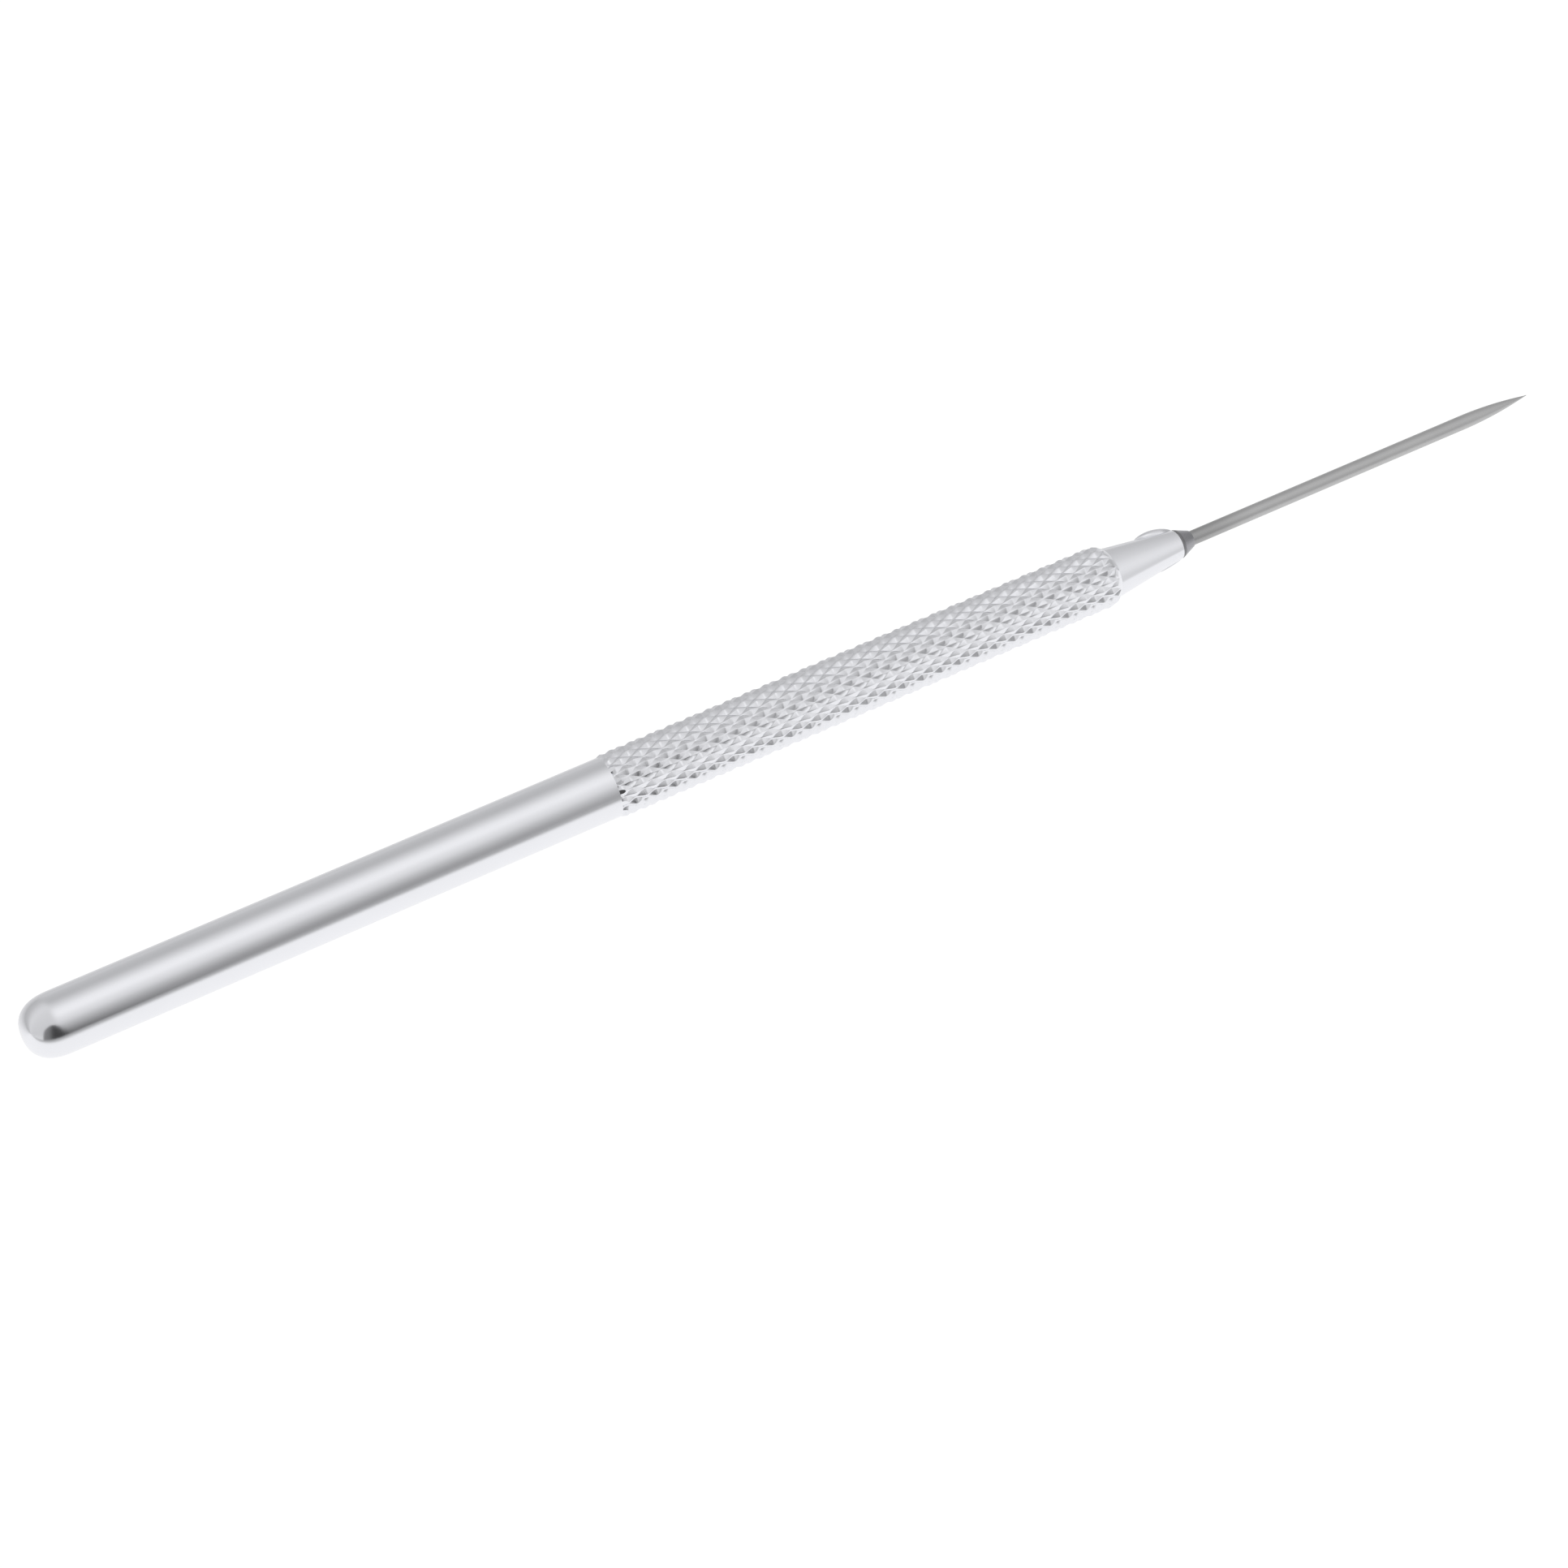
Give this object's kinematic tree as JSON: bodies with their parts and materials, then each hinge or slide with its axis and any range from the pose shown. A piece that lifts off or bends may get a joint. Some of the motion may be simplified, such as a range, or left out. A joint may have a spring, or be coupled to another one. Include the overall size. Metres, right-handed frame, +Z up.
{
  "type": "pottery needle tool",
  "caption": "Slim metal needle tool for clay: a polished aluminium handle with a domed end and a knurled grip, a conical nose, and a long pointed steel needle.",
  "frame": {"origin": "middle of the tool's length, straight under its axis, on the surface that the knurled grip lies on", "axes": "+X along the tool's axis towards the needle's point, +Z up from the surface, with the nose's upper crimp lip turned up and to +Y"},
  "size_m": [0.1778, 0.0068, 0.0069],
  "materials": {
    "polished_aluminium": "turned and polished, with a bright knurl",
    "needle_steel": "bright drawn wire, lightly ground at the point"
  },
  "bodies": {
    "root": {"handle": "polished_aluminium", "needle": "needle_steel"}
  },
  "joints": []
}
